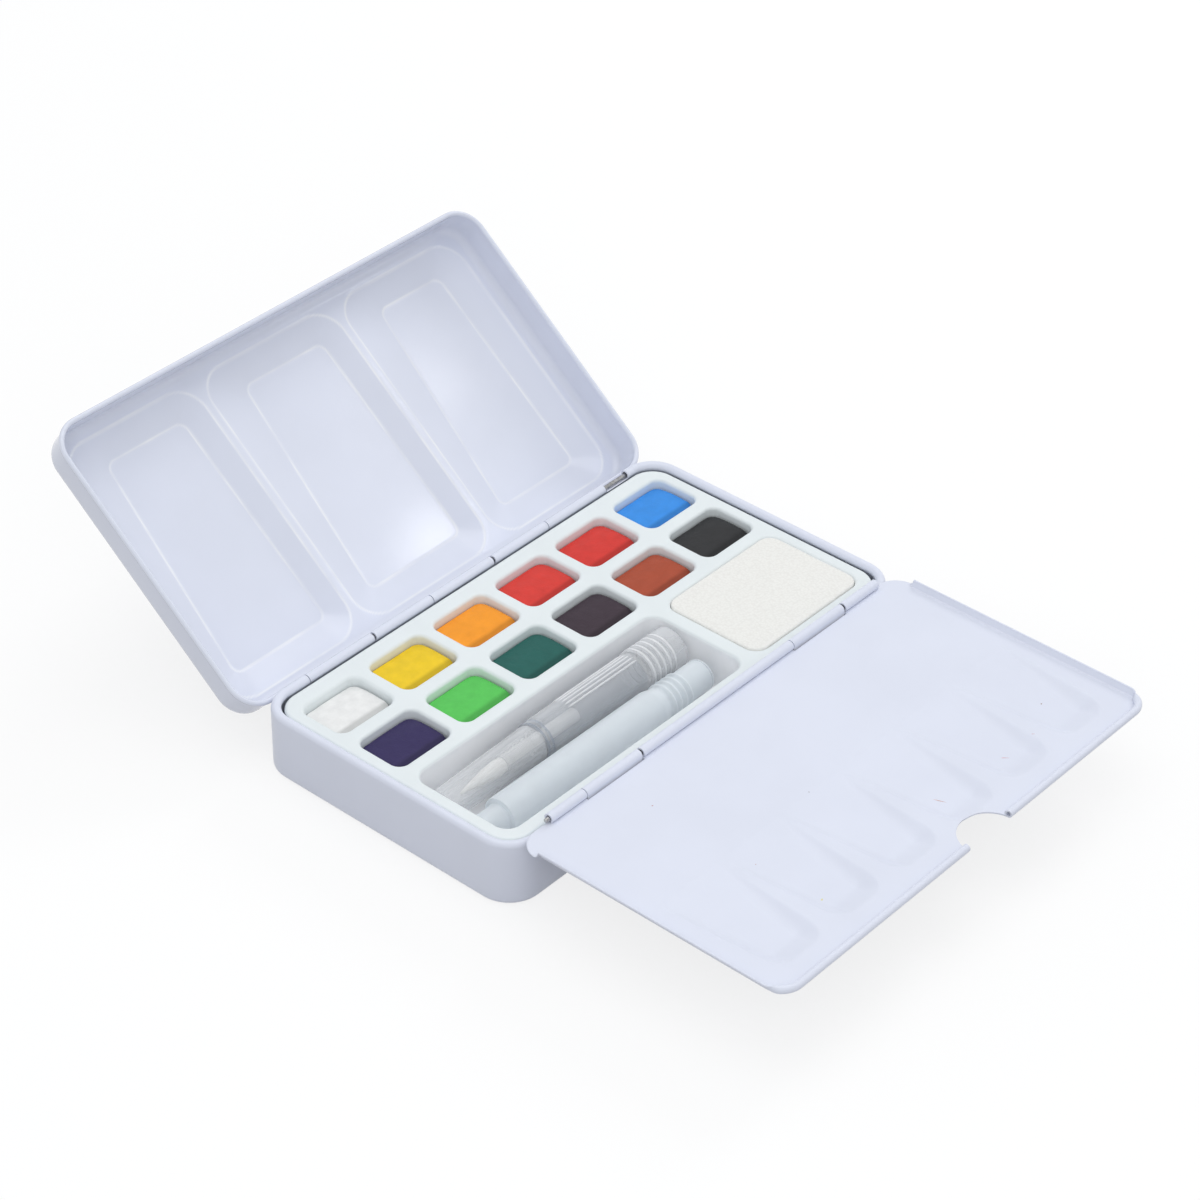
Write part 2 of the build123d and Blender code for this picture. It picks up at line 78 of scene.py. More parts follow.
TRAY = {"left": -71.1, "right": 70.4, "front": -39.3, "back": 38.9, "top": 17.6, "corner": 7.0}
TRAY_BOTTOM, TRAY_WALL, TRAY_EDGE = 0.4, 0.9, 1.0
POCKET_EDGE, POCKET_FLOOR_EDGE, DRAFT = 0.95, 1.0, 0.25
PAN = {"left": -67.25, "pitch": 23.0, "length": 18.9, "width": 14.6, "corner": 2.8, "depth": 9.0}
PAN_LEFTS = [PAN["left"] + column * PAN["pitch"] for column in range(6)]
ROW_FRONTS = (18.9, -0.2)
LOWER_BACK, LOWER_FRONT = -4.5, -35.0
TROUGH = {"right": 20.0, "depth": 12.1, "corner": 4.0}
SPONGE = {"depth": 9.0, "top": 17.8, "gap": 0.3}

# Each cake's colour, and how strongly it has stained the walls of its cup
CAKES = {
    "white": ((0.86, 0.86, 0.85), 0.02),
    "yellow": ((0.88, 0.60, 0.01), 0.10),
    "orange": ((0.97, 0.34, 0.015), 0.08),
    "scarlet": ((0.70, 0.040, 0.028), 0.03),
    "crimson": ((0.68, 0.035, 0.025), 0.03),
    "blue": ((0.035, 0.28, 0.80), 0.04),
    "violet": ((0.028, 0.018, 0.095), 0.06),
    "light_green": ((0.10, 0.58, 0.10), 0.06),
    "dark_green": ((0.008, 0.11, 0.092), 0.07),
    "plum": ((0.042, 0.024, 0.037), 0.10),
    "brown": ((0.41, 0.068, 0.026), 0.12),
    "black": ((0.020, 0.020, 0.022), 0.10),
}

# Dried flecks on the flap: x, y, length, width, turn in degrees and colour
FLECKS = (
    (8.8, -103.1, 4.3, 0.22, -65, (0.62, 0.20, 0.10)),
    (-37.4, -104.2, 1.0, 0.60, 20, (0.80, 0.72, 0.25)),
    (32.3, -105.0, 2.9, 0.20, -46, (0.85, 0.25, 0.28)),
    (42.2, -105.9, 1.5, 0.18, -46, (0.80, 0.35, 0.38)),
    (55.0, -99.5, 0.7, 0.50, 10, (0.40, 0.30, 0.26)),
    (-39.2, -86.2, 0.4, 0.30, 0, (0.55, 0.30, 0.30)),
    (-11.1, -79.5, 0.6, 0.35, 60, (0.35, 0.33, 0.36)),
    (-39.6, -55.4, 0.6, 0.35, -30, (0.45, 0.10, 0.06)),
)


# Mesh helpers
def link_new(name, data):
    """A new object in the scene."""
    piece = bpy.data.objects.new(name, data)
    bpy.context.collection.objects.link(piece)
    return piece


def make_object(name, vertices, faces, body, material, replaces=(), sharp_angle=38):
    """A smooth-shaded closed mesh in metres that rides on a body."""
    mesh = bpy.data.meshes.new(name)
    mesh.from_pydata([tuple(MM * float(c) for c in v) for v in vertices], [], faces)
    work = bmesh.new()
    work.from_mesh(mesh)
    bmesh.ops.remove_doubles(work, verts=work.verts, dist=1e-7)
    bmesh.ops.recalc_face_normals(work, faces=work.faces)
    work.to_mesh(mesh)
    work.free()
    finish_shading(mesh, sharp_angle)
    mesh.materials.append(material)
    piece = link_new(name, mesh)
    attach(piece, body)
    if replaces:
        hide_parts(*replaces)
    return piece


def finish_shading(mesh, sharp_angle):
    """Smooth faces, with edges sharper than the angle kept crisp."""
    mesh.polygons.foreach_set("use_smooth", [True] * len(mesh.polygons))
    mesh.set_sharp_from_angle(angle=math.radians(sharp_angle))
    mesh.update()


def apply_modifiers(piece):
    """Bakes a piece's modifiers into its mesh."""
    graph = bpy.context.evaluated_depsgraph_get()
    mesh = bpy.data.meshes.new_from_object(piece.evaluated_get(graph))
    piece.modifiers.clear()
    piece.data = mesh


def arc(centre, radius, start, end, count):
    """Points on a circle from one angle to another, in degrees."""
    angles = np.radians(np.linspace(start, end, count))
    return [(centre[0] + radius * math.cos(t), centre[1] + radius * math.sin(t)) for t in angles]


def thick_line(line, thickness):
    """Both sides of a bent strip, from its start on one side round its tip and back."""
    line = np.array(line, float)
    along = np.gradient(line, axis=0)
    along /= np.linalg.norm(along, axis=1)[:, None]
    across = np.stack([-along[:, 1], along[:, 0]], 1) * thickness / 2
    tip = line[-1] + along[-1] * thickness / 2
    return np.vstack([line + across, [tip], (line - across)[::-1]])


def outline(half_x, half_y, radius, step, corner_steps=12):
    """A rounded rectangle: corner centres and outward normals all round, and the core's grid lines."""
    straight = (half_x - radius, half_y - radius)
    counts = [max(2, round(2 * s / step)) for s in straight]
    half = corner_steps // 2
    skeleton, normals = [], []
    for side in range(4):
        reach, count = straight[side % 2], counts[side % 2]
        other = straight[(side + 1) % 2]
        turn = math.radians(90 * side)
        rotation = np.array([[math.cos(turn), -math.sin(turn)], [math.sin(turn), math.cos(turn)]])
        points = [(-reach, -135 + 45 * j / half) for j in range(half)]
        points += [(-reach + 2 * reach * j / count, -90) for j in range(count + 1)]
        points += [(reach, -90 + 45 * j / half) for j in range(1, half)]
        for along, degrees in points:
            angle = math.radians(degrees)
            skeleton.append(rotation @ (along, -other))
            normals.append(rotation @ (math.cos(angle), math.sin(angle)))
    shape = {"radius": radius, "straight": straight, "counts": counts, "half": half}
    shape["skeleton"], shape["normals"] = np.array(skeleton), np.array(normals)
    return shape


def ring_at(shape, offset):
    """The outline moved inward by an offset, which may differ from point to point."""
    reach = np.asarray(shape["radius"] - offset)
    return shape["skeleton"] + shape["normals"] * (reach[:, None] if reach.ndim else reach)


def core_lines(shape, inset):
    """Grid lines of the rectangle inside the outline, for x and for y."""
    lines = []
    for straight, count in zip(shape["straight"], shape["counts"]):
        edge = straight + shape["radius"] - inset
        outer = edge - (edge - straight) * np.arange(shape["half"]) / shape["half"]
        middle = np.linspace(-straight, straight, count + 1)
        lines.append(np.concatenate([-outer, middle, outer[::-1]]))
    return lines


class Shell:
    """Collects rings and caps of one closed mesh over an outline."""

    def __init__(self, shape):
        self.shape = shape
        self.vertices = []
        self.faces = []
        self.count = len(shape["skeleton"])

    def add_ring(self, flat, height):
        first = len(self.vertices)
        height = np.broadcast_to(height, (self.count,))
        self.vertices.extend((x, y, z) for (x, y), z in zip(flat, height))
        return list(range(first, first + self.count))

    def bridge(self, rings):
        for ring_a, ring_b in zip(rings, rings[1:]):
            for i in range(self.count):
                j = (i + 1) % self.count
                self.faces.append((ring_a[i], ring_a[j], ring_b[j], ring_b[i]))

    def cap(self, ring, flat, inset, height, steps=5):
        """Fills the inside of a ring with a grid whose height is a function of x and y."""
        xs, ys = core_lines(self.shape, inset)
        columns, rows = len(xs), len(ys)
        grid_x, grid_y = np.meshgrid(xs, ys)
        grid = np.arange(rows * columns).reshape(rows, columns) + len(self.vertices)
        self.vertices.extend(zip(grid_x.ravel(), grid_y.ravel(), height(grid_x, grid_y).ravel()))
        grid = grid.tolist()
        border = grid[0][:-1] + [row[-1] for row in grid[:-1]]
        border += grid[-1][:0:-1] + [row[0] for row in grid[:0:-1]]
        inner = np.array([self.vertices[i][:2] for i in border])
        rings = [ring]
        for k in range(1, steps):
            points = flat + (inner - flat) * k / steps
            rings.append(self.add_ring(points, height(points[:, 0], points[:, 1])))
        self.bridge([*rings, border])
        for low, high in zip(grid, grid[1:]):
            for j in range(columns - 1):
                self.faces.append((low[j], low[j + 1], high[j + 1], high[j]))

    def profile(self, points):
        """Bridges rings along a profile of (inward offset, height) pairs and returns the first and last."""
        rings = [self.add_ring(ring_at(self.shape, o), z) for o, z in points]
        self.bridge(rings)
        return rings[0], rings[-1]


def smooth_step(value, low, high):
    """0 below low, 1 above high and an even S between."""
    t = np.clip((value - low) / (high - low), 0, 1)
    return t * t * (3 - 2 * t)


def soft_positive(value, radius):
    """The positive part of a value, with its corner rounded over a radius."""
    rounded = np.where(value > radius, value, (value + radius) ** 2 / (4 * radius))
    return np.where(value < -radius, 0, rounded)


def soft_ramp(distance, run, depth, top_round, floor_round):
    """Depth of a sloped wall against the distance in from its top edge, with rounded ends."""
    slope = depth / run
    return slope * (soft_positive(distance, top_round) - soft_positive(distance - run, floor_round))


def corner_distance(qx, qy, radius):
    """Distance in from a rounded edge, for the distances out past the corner's centre; negative outside."""
    outer = np.hypot(np.maximum(qx, 0), np.maximum(qy, 0))
    return radius - outer - np.minimum(np.maximum(qx, qy), 0)


def flat_height(height):
    """A height function that is the same everywhere."""
    return lambda x, y: np.full_like(x, height)


def tube_faces(count, steps):
    """Faces between stacked rings of count vertices."""
    faces = []
    for a in range(0, steps * count, count):
        for i in range(count):
            j = (i + 1) % count
            faces.append((a + i, a + j, a + count + j, a + count + i))
    return faces


def strip_along_x(line, start, end):
    """Vertices and faces of a bent strip, drawn in the YZ plane and run along X."""
    section = thick_line(line, SHEET)
    count = len(section)
    steps = max(1, round((end - start) / 4))
    lengths = [start + (end - start) * k / steps for k in range(steps + 1)]
    vertices = [(x, y, z) for x in lengths for y, z in section]
    faces = tube_faces(count, steps)
    for base in (0, steps * count):
        for i in range(count // 2):
            faces.append((base + i, base + i + 1, base + count - 2 - i, base + count - 1 - i))
    return vertices, faces


def curled_strips(name, line, spans, body, material):
    """One piece made of equal bent strips along X."""
    parts = [strip_along_x(line, start, end) for start, end in spans]
    return make_object(name, *join_meshes(parts), body, material)


def cut_with(piece, cutters, sharp_angle=38):
    """Cuts the cutter shapes out of a piece."""
    for cutter in cutters:
        modifier = piece.modifiers.new("cut", "BOOLEAN")
        modifier.operation = "DIFFERENCE"
        modifier.solver = "EXACT"
        modifier.object = cutter
    bpy.context.view_layer.update()
    apply_modifiers(piece)
    finish_shading(piece.data, sharp_angle)
    for cutter in cutters:
        bpy.data.objects.remove(cutter)


def cutter(work):
    """An object used only to cut, from a finished bmesh."""
    mesh = bpy.data.meshes.new("cutter")
    work.to_mesh(mesh)
    work.free()
    return link_new("cutter", mesh)


def cutter_box(*ranges):
    """A block used only to cut, from its ranges along X, Y and Z."""
    work = bmesh.new()
    bmesh.ops.create_cube(work, size=1)
    for vertex in work.verts:
        vertex.co = [MM * (low + (high - low) * (c + 0.5)) for c, (low, high) in zip(vertex.co, ranges)]
    bmesh.ops.recalc_face_normals(work, faces=work.faces)
    return cutter(work)


def cutter_disc(centre, radius, height):
    """An upright disc used only to cut."""
    work = bmesh.new()
    bmesh.ops.create_cone(
        work, cap_ends=True, segments=96, radius1=MM * radius, radius2=MM * radius, depth=MM * height
    )
    bmesh.ops.translate(work, verts=work.verts, vec=[MM * c for c in centre])
    return cutter(work)


def join_meshes(parts):
    """Several (vertices, faces) lists as one."""
    vertices, faces = [], []
    for more_vertices, more_faces in parts:
        base = len(vertices)
        vertices.extend(more_vertices)
        faces.extend(tuple(i + base for i in face) for face in more_faces)
    return vertices, faces


def lathe(profile, y, z, segments):
    """A turned shape along X from (x, radius) pairs that end on the axis or close on themselves."""
    vertices, faces, rings = [], [], []
    last_angle = 360 - 360 / segments
    for x, radius in profile:
        first = len(vertices)
        if radius > 0:
            vertices += [(x, *point) for point in arc((y, z), radius, 0, last_angle, segments)]
            rings.append([*range(first, len(vertices)), first])
        else:
            vertices.append((x, y, z))
            rings.append([first] * (segments + 1))
    if profile[0][1] > 0:
        rings.append(rings[0])
    for ring_a, ring_b in zip(rings, rings[1:]):
        for k in range(segments):
            face = (ring_a[k], ring_a[k + 1], ring_b[k + 1], ring_b[k])
            faces.append(tuple(dict.fromkeys(face)))
    return vertices, faces


# Materials
def new_material(name):
    """A node material and its node tree."""
    material = bpy.data.materials.new(name)
    material.use_nodes = True
    return material, material.node_tree


def feed(tree, socket, value):
    """Sets a socket to a value, or links it to another node's output."""
    if isinstance(value, bpy.types.NodeSocket):
        tree.links.new(value, socket)
    else:
        socket.default_value = value


def add_node(tree, kind, inputs=None, output=0, **settings):
    """Adds a node with its settings, feeds its inputs and returns one of its outputs."""
    node = tree.nodes.new("ShaderNode" + kind)
    for key, value in settings.items():
        setattr(node, key, value)
    for key, value in (inputs or {}).items():
        feed(tree, node.inputs[key], value)
    return node.outputs[output]


def dress(material, inputs):
    """Feeds a material's Principled shader."""
    shader = material.node_tree.nodes["Principled BSDF"]
    for key, value in inputs.items():
        feed(material.node_tree, shader.inputs[key], value)
    return material


def object_noise(tree, scale, detail=3.0, roughness=0.5):
    """Noise in the row frame, with a scale in features per metre."""
    place = add_node(tree, "TexCoord", output="Object")
    inputs = {"Vector": place, "Scale": scale, "Detail": detail, "Roughness": roughness}
    return add_node(tree, "TexNoise", inputs, "Fac")


def add_bump(tree, height, strength, distance, previous=None):
    """A bump driven by a texture, chained onto an earlier one if given."""
    inputs = {"Strength": strength, "Distance": distance, "Height": height}
    if previous is not None:
        inputs["Normal"] = previous
    return add_node(tree, "Bump", inputs, "Normal")


def colour_ramp(tree, factor, colour_a, colour_b, low=0.35, high=0.65):
    """Colour between two values, driven by a factor between low and high."""
    ramp = tree.nodes.new("ShaderNodeValToRGB")
    first, second = ramp.color_ramp.elements
    first.position, first.color = low, (*colour_a, 1)
    second.position, second.color = high, (*colour_b, 1)
    feed(tree, ramp.inputs["Fac"], factor)
    return ramp.outputs["Color"]


def map_range(tree, value, before, after):
    """A value carried from one range to another."""
    return add_node(tree, "MapRange", dict(enumerate((value, *before, *after))), "Result")


def multiply(tree, value_a, value_b):
    """The product of two values."""
    return add_node(tree, "Math", {0: value_a, 1: value_b}, operation="MULTIPLY")


def blend(tree, factor, colour_a, colour_b):
    """A mix of two colours, each a value or another node's output."""
    return add_node(tree, "Mix", {"Factor": factor, 6: colour_a, 7: colour_b}, 2, data_type="RGBA")


def shaded(colour, share):
    """A colour scaled by a share."""
    return tuple(c * share for c in colour)


def enamel(name, colour, roughness, peel, coat=0.0):
    """Baked enamel over pressed tin: faint colour drift, orange peel and a painted highlight along the
    bends kept in the mesh's edge attribute.
    """
    material, tree = new_material(name)
    tint = colour_ramp(tree, object_noise(tree, 45), shaded(colour, 0.975), colour)
    # Painted highlight: a paler colour along the bends, broken up by noise
    bend_highlight = add_node(tree, "Attribute", output="Fac", attribute_name="edge")
    broken = map_range(tree, object_noise(tree, 70), (0.35, 0.6), (0.35, 1.0))
    peel_bump = add_bump(tree, object_noise(tree, 190, 2), 0.5, peel)
    gloss = (roughness * 0.85, roughness * 1.15)
    return dress(material, {
        "Base Color": blend(tree, multiply(tree, bend_highlight, broken), tint, PAINTED_BEND_HIGHLIGHT),
        "Roughness": map_range(tree, object_noise(tree, 400, 4), (0, 1), gloss),
        "Coat Weight": coat,
        "Coat Roughness": 0.08,
        "Normal": add_bump(tree, object_noise(tree, 900, 2), 0.3, peel * 0.2, peel_bump),
    })


def steel():
    """Drawn wire: bright, with fine uneven marks."""
    material, tree = new_material("wire_steel")
    lines = object_noise(tree, 1500, 4)
    return dress(material, {
        "Metallic": 1.0,
        "Base Color": colour_ramp(tree, lines, (0.42, 0.41, 0.40), (0.68, 0.67, 0.66)),
        "Roughness": 0.28,
        "Normal": add_bump(tree, lines, 0.3, 0.00005),
    })


def tray_plastic():
    """White moulded plastic with paint stains, and painted light in the lower pockets, kept in a per-vertex
    colour attribute.
    """
    material, tree = new_material("tray_plastic")
    base = colour_ramp(tree, object_noise(tree, 60), (0.80, 0.85, 0.862), (0.825, 0.875, 0.888))
    stain_and_painted_light = tree.nodes.new("ShaderNodeAttribute")
    stain_and_painted_light.attribute_name = "stain_and_painted_light"
    blotch = map_range(tree, object_noise(tree, 380, 4, 0.6), (0.3, 0.7), (0.5, 1.0))
    amount = multiply(tree, stain_and_painted_light.outputs["Alpha"], blotch)
    return dress(material, {
        "Base Color": blend(tree, amount, base, stain_and_painted_light.outputs["Color"]),
        "Roughness": 0.36,
        "Normal": add_bump(tree, object_noise(tree, 1200), 0.25, 0.00004),
    })


def cake_paint(name, colour):
    """Pressed dry paint: dull, with painted shade where it falls away to the front, and lumps and pits."""
    material, tree = new_material(name)
    lighter = tuple(min(1.0, c * 1.05 + 0.002) for c in colour)
    patch = object_noise(tree, 330, 5, 0.6)
    tint = colour_ramp(tree, patch, shaded(colour, 0.93), lighter, 0.3, 0.7)
    normal = add_node(tree, "TexCoord", output="Normal")
    normal_y = add_node(tree, "SeparateXYZ", {"Vector": normal}, "Y")
    # Painted shade: faces turned towards the front are darkened towards half the paint's colour
    front = map_range(tree, normal_y, (-0.12, -0.36), (0.0, 0.55))
    lumps = add_bump(tree, object_noise(tree, 420), 0.5, 0.00025)
    return dress(material, {
        "Base Color": blend(tree, front, tint, (*shaded(colour, 0.50), 1)),
        "Roughness": 0.42,
        "Specular IOR Level": 0.35,
        "Normal": add_bump(tree, object_noise(tree, 2600, 5, 0.7), 0.45, 0.00010, lumps),
    })


def foam():
    """Open-celled sponge: off-white with fine dark pores."""
    material, tree = new_material("sponge_foam")
    place = add_node(tree, "TexCoord", output="Object")
    cells = add_node(tree, "TexVoronoi", {"Vector": place, "Scale": 1500}, "Distance")
    pores = add_bump(tree, cells, 0.3, -0.00010)
    return dress(material, {
        "Base Color": colour_ramp(tree, cells, (0.885, 0.88, 0.845), (0.83, 0.82, 0.785), 0.2, 0.8),
        "Roughness": 0.95,
        "Specular IOR Level": 0.15,
        "Normal": add_bump(tree, object_noise(tree, 900, 4, 0.7), 0.3, 0.00012, pores),
    })


def clear_plastic(name, colour, roughness, face, edge):
    """Thin moulded plastic: see-through where seen squarely and milky along its edges."""
    material, tree = new_material(name)
    facing = add_node(tree, "LayerWeight", {"Blend": 0.42}, "Facing")
    return dress(material, {
        "Base Color": colour_ramp(tree, object_noise(tree, 250), shaded(colour, 0.97), colour),
        "Roughness": roughness,
        "IOR": 1.5,
        "Specular IOR Level": 0.9,
        "Alpha": map_range(tree, facing, (0, 1), (face, edge)),
    })


def bristle_fibre():
    """White nylon hairs that run along the tuft."""
    material, tree = new_material("bristle_fibre")
    place = add_node(tree, "TexCoord", output="Object")
    stretched = add_node(tree, "Mapping", {"Vector": place, "Scale": (60, 3500, 3500)})
    hairs = add_node(tree, "TexNoise", {"Vector": stretched, "Scale": 1.0}, "Fac")
    return dress(material, {
        "Base Color": colour_ramp(tree, hairs, (0.74, 0.73, 0.71), (0.90, 0.90, 0.88)),
        "Roughness": 0.5,
        "Normal": add_bump(tree, hairs, 0.6, 0.00006),
    })


# Colour of the painted highlight along the bends of the lid's wells
PAINTED_BEND_HIGHLIGHT = (0.97, 0.98, 1.0, 1)
ENAMEL_COLOUR = (0.765, 0.795, 0.905)
tin_enamel = enamel("tin_enamel", ENAMEL_COLOUR, 0.30, 0.00006)
lid_enamel = enamel("lid_enamel", ENAMEL_COLOUR, 0.17, 0.00010, 0.5)
flap_enamel = enamel("flap_enamel", ENAMEL_COLOUR, 0.34, 0.00005)
wire_steel = steel()
tray_white = tray_plastic()
sponge_foam = foam()
clear = clear_plastic("clear_plastic", (0.95, 0.97, 1.0), 0.14, 0.12, 0.66)
# White plastic for the grip's flutes and thread rings: painted highlights along its clear ridges
flute_highlight = clear_plastic("flute_highlight_plastic", (0.97, 0.98, 1.0), 0.20, 0.55, 0.95)
# Dark bluish plastic: painted shade for the grip's inside, also used for the dark rings at the collar
shade_plastic = clear_plastic("painted_shade_plastic", (0.40, 0.48, 0.60), 0.30, 0.20, 0.32)
frosted = clear_plastic("frosted_plastic", (0.87, 0.93, 0.975), 0.36, 0.60, 0.92)
bristles = bristle_fibre()
cake_materials = {name: cake_paint(f"cake_{name}", colour) for name, (colour, _) in CAKES.items()}


# Tin
def build_tin():
    """Pressed shell with a hollow inward curl, cut away at the lid's knuckles, and two curled tabs."""
    shape = outline(TIN["half_x"], TIN["half_y"], TIN["corner"], 3 * STEP)
    shell = Shell(shape)
    foot = TIN["foot"] - SHEET / 2
    mid = SHEET / 2
    line = arc((mid + foot, mid + foot), foot, 270, 180, 9)
    line += [(mid, 4.0), (mid, 9.0), (mid, 14.0)]
    curl_centre = (CURL, TIN["height"] - CURL)
    line += arc(curl_centre, CURL - mid, 180, -120, 25)
    rings = thick_line(line, SHEET)
    first, last = shell.profile(rings)
    cap_inset = 14
    for ring, (offset, height) in ((first, rings[0]), (last, rings[-1])):
        shell.cap(ring, ring_at(shape, offset), cap_inset, flat_height(height))
    tin = make_object("tin_shell", shell.vertices, shell.faces, "root", tin_enamel, ("base_tin",))
    slot_low = BACK_HINGE[1] - CURL - 0.35
    cutters = []
    slot_y, slot_top = (BACK_HINGE[0] - 1.8, 44), 20
    for start, end in BACK_KNUCKLES:
        span = (start - KNUCKLE_GAP, end + KNUCKLE_GAP + OPEN_GAP)
        cutters.append(cutter_box(span, slot_y, (slot_low, slot_top)))
    cutters.append(cutter_box((BACK_KNUCKLES[-1][1], BACK_BARE_END), slot_y, (16.6, slot_top)))
    cut_with(tin, cutters)
    y, z = FRONT_HINGE
    wall = -TIN["half_y"] + SHEET / 2
    rise = [(wall, 16.5), (wall, 18.2), (y - 1.02, 19.4)]
    line = rise + arc((y, z), CURL - SHEET / 2, 190, -150, 29)
    spans = [(start, end - OPEN_GAP / 2) for start, end in TIN_TABS]
    tabs = curled_strips("tin_tabs", line, spans, "root", tin_enamel)


# Lid
def lid_wells():
    """X and Y spans of each mixing well's mouth and floor."""
    side = LID["half_x"] - LID_WELL["margin"]
    at, half = LID_WELL["rib_at"], LID_WELL["rib"] / 2
    mouth_y = (LID_WELL["near_margin"] - LID_HALF_Y, LID_HALF_Y - LID_WELL["margin"])
    floor_y = (mouth_y[0] + LID_END_SLOPE, mouth_y[1] - LID_END_SLOPE)
    mouths = ((-side, -at - half), (-at + half, at - half), (at + half, side))
    wells = []
    for (left, right), (left_slope, right_slope) in zip(mouths, LID_SIDE_SLOPES):
        wells.append(((left, right), mouth_y, (left + left_slope, right - right_slope), floor_y))
    return wells


def span_distance(x, y, x_span, y_span, radius):
    """Distance in from the edge of a rounded rectangle given by its spans."""
    past = []
    for value, (low, high) in ((x, x_span), (y, y_span)):
        past.append(np.abs(value - (low + high) / 2) - ((high - low) / 2 - radius))
    return corner_distance(*past, radius)


def lid_floor_distance(x, y, floor_x, floor_y):
    """Distance in from the edge of a well's floor, which narrows towards the lid's far side."""
    share = np.clip((y - floor_y[0]) / (floor_y[1] - floor_y[0]), 0, 1)
    left = floor_x[0] + LID_FLOOR_NARROWING[0] * share
    right = floor_x[1] - LID_FLOOR_NARROWING[1] * share
    return span_distance(x, y, (left, right), floor_y, LID_FLOOR_CORNER)


def lid_depth(x, y, grow=0.0):
    """Depth of the lid's inner face under its opening, wells included, in the lid's own plane."""
    depth = np.zeros_like(x) + LID["land"]
    for mouth_x, mouth_y, floor_x, floor_y in lid_wells():
        mouth_in = span_distance(x, y, mouth_x, mouth_y, LID_WELL["corner"]) + grow
        floor_out = grow - lid_floor_distance(x, y, floor_x, floor_y)
        share = mouth_in / np.maximum(mouth_in + floor_out, 1.0)
        depth = depth + LID_WELL["depth"] * (soft_positive(share, 0.05) - soft_positive(share - 1, 0.02))
    return depth


def lid_place(along, rise):
    """A distance along the open lid from its hinge and a rise off it, as y and z in the row frame."""
    y0, z0 = BACK_HINGE
    return y0 + along * LID_COS - rise * LID_SIN, z0 + along * LID_SIN + rise * LID_COS


def lid_bend_highlight(mesh):
    """Painted highlight for each vertex of the placed lid: how strongly it lies on a bend of a well, on its
    inner face only.
    """
    y0, z0 = BACK_HINGE
    places = np.empty(3 * len(mesh.vertices))
    mesh.vertices.foreach_get("co", places)
    x, y, z = places.reshape(-1, 3).T / MM
    along = (y - y0) * LID_COS + (z - z0) * LID_SIN - LID_MIDDLE
    depth = (y - y0) * LID_SIN - (z - z0) * LID_COS - LID_RIM_DROP
    bend_highlight = np.zeros_like(x)
    for mouth_x, mouth_y, floor_x, floor_y in lid_wells():
        to_floor = lid_floor_distance(x, along, floor_x, floor_y)
        to_mouth = span_distance(x, along, mouth_x, mouth_y, LID_WELL["corner"])
        nearest = np.minimum(np.abs(to_floor), np.abs(to_mouth))
        near = np.clip(1.2 - nearest / BEND_HIGHLIGHT_WIDTH, 0, 1)
        bend_highlight = np.maximum(bend_highlight, BEND_HIGHLIGHT_SHARE * near)
    return bend_highlight * (depth < lid_depth(x, along) + SHEET / 2)


def build_lid():
    """Pressed lid with a rolled bead, a rounded wall, three wells and three hinge knuckles."""
    shell = Shell(outline(LID["half_x"], LID_HALF_Y, LID["corner"], STEP))
    wall, radius, mid = LID_WALL_INSET, LID["round"], SHEET / 2
    floor = LID["land"] + mid
    line = arc((wall + radius, floor - radius), radius, 90, 180, 12)
    line += [(wall, 5.0), (wall, 3.4), (wall, 2.0)]
    line += arc((0.70, 0.70), 0.50, 10, -280, 22)
    rings = thick_line(line, SHEET)
    first, last = shell.profile(rings)
    inset = wall + radius + 2.4
    for ring, offset, grow, lift in ((first, rings[0][0], 0.0, 0.0), (last, rings[-1][0], 0.15, SHEET)):

        def height(x, y, grow=grow, lift=lift):
            return lid_depth(x, y, grow) + lift

        shell.cap(ring, ring_at(shell.shape, offset), inset, height)
    placed = [(x, *lid_place(y + LID_MIDDLE, -(LID_RIM_DROP + depth))) for x, y, depth in shell.vertices]
    lid = make_object("lid_pressing", placed, shell.faces, "lid", lid_enamel, ("lid",), 60)
    # The painted highlight along the wells' bends, kept per vertex in the edge attribute
    edge = lid.data.attributes.new("edge", "FLOAT", "POINT")
    edge.data.foreach_set("value", lid_bend_highlight(lid.data))
    local = [(0.75, -LID_RIM_DROP - 1.2), (0.8, -LID_RIM_DROP), (1.05, -1.0)]
    local += arc((0, 0), CURL - mid, 0, 300, 27)
    line = [lid_place(along, rise) for along, rise in local]
    knuckles = curled_strips("lid_knuckles", line, BACK_KNUCKLES, "lid", lid_enamel)


# Mixing flap
def flap_drop(x, out):
    """How far the ramped wells sink the leaf, for a distance out from the hinge."""
    drop = np.zeros_like(x)
    well = FLAP_WELL
    corner = well["corner"]
    share = np.clip((out - well["start"]) / (well["end"] - well["start"]), 0, 1)
    ramp = well["depth"] * np.clip((out - well["start"]) / well["ramp"], 0, 1.15)
    for i in range(well["count"]):
        centre = well["pitch"] * (i - (well["count"] - 1) / 2)
        qx = np.abs(x - centre) - (well["half"] - well["narrowing"] * share - corner)
        qy = corner - well["end_share"] * (well["end"] - out)
        inside = corner_distance(qx, qy, corner)
        wall = soft_ramp(inside, well["wall"], well["depth"], 0.4, 0.5)
        drop = drop + np.maximum(0, smooth_min(wall, ramp, 1.0)) * (inside > -1.5)
    return drop


def smooth_min(a, b, radius):
    """The smaller of two values, rounded where they cross."""
    least = np.minimum(a, b)
    near = np.clip(1 - np.abs(a - b) / radius, 0, 1)
    return least - 0.25 * radius * near**2 * np.clip(least / radius, 0, 1)


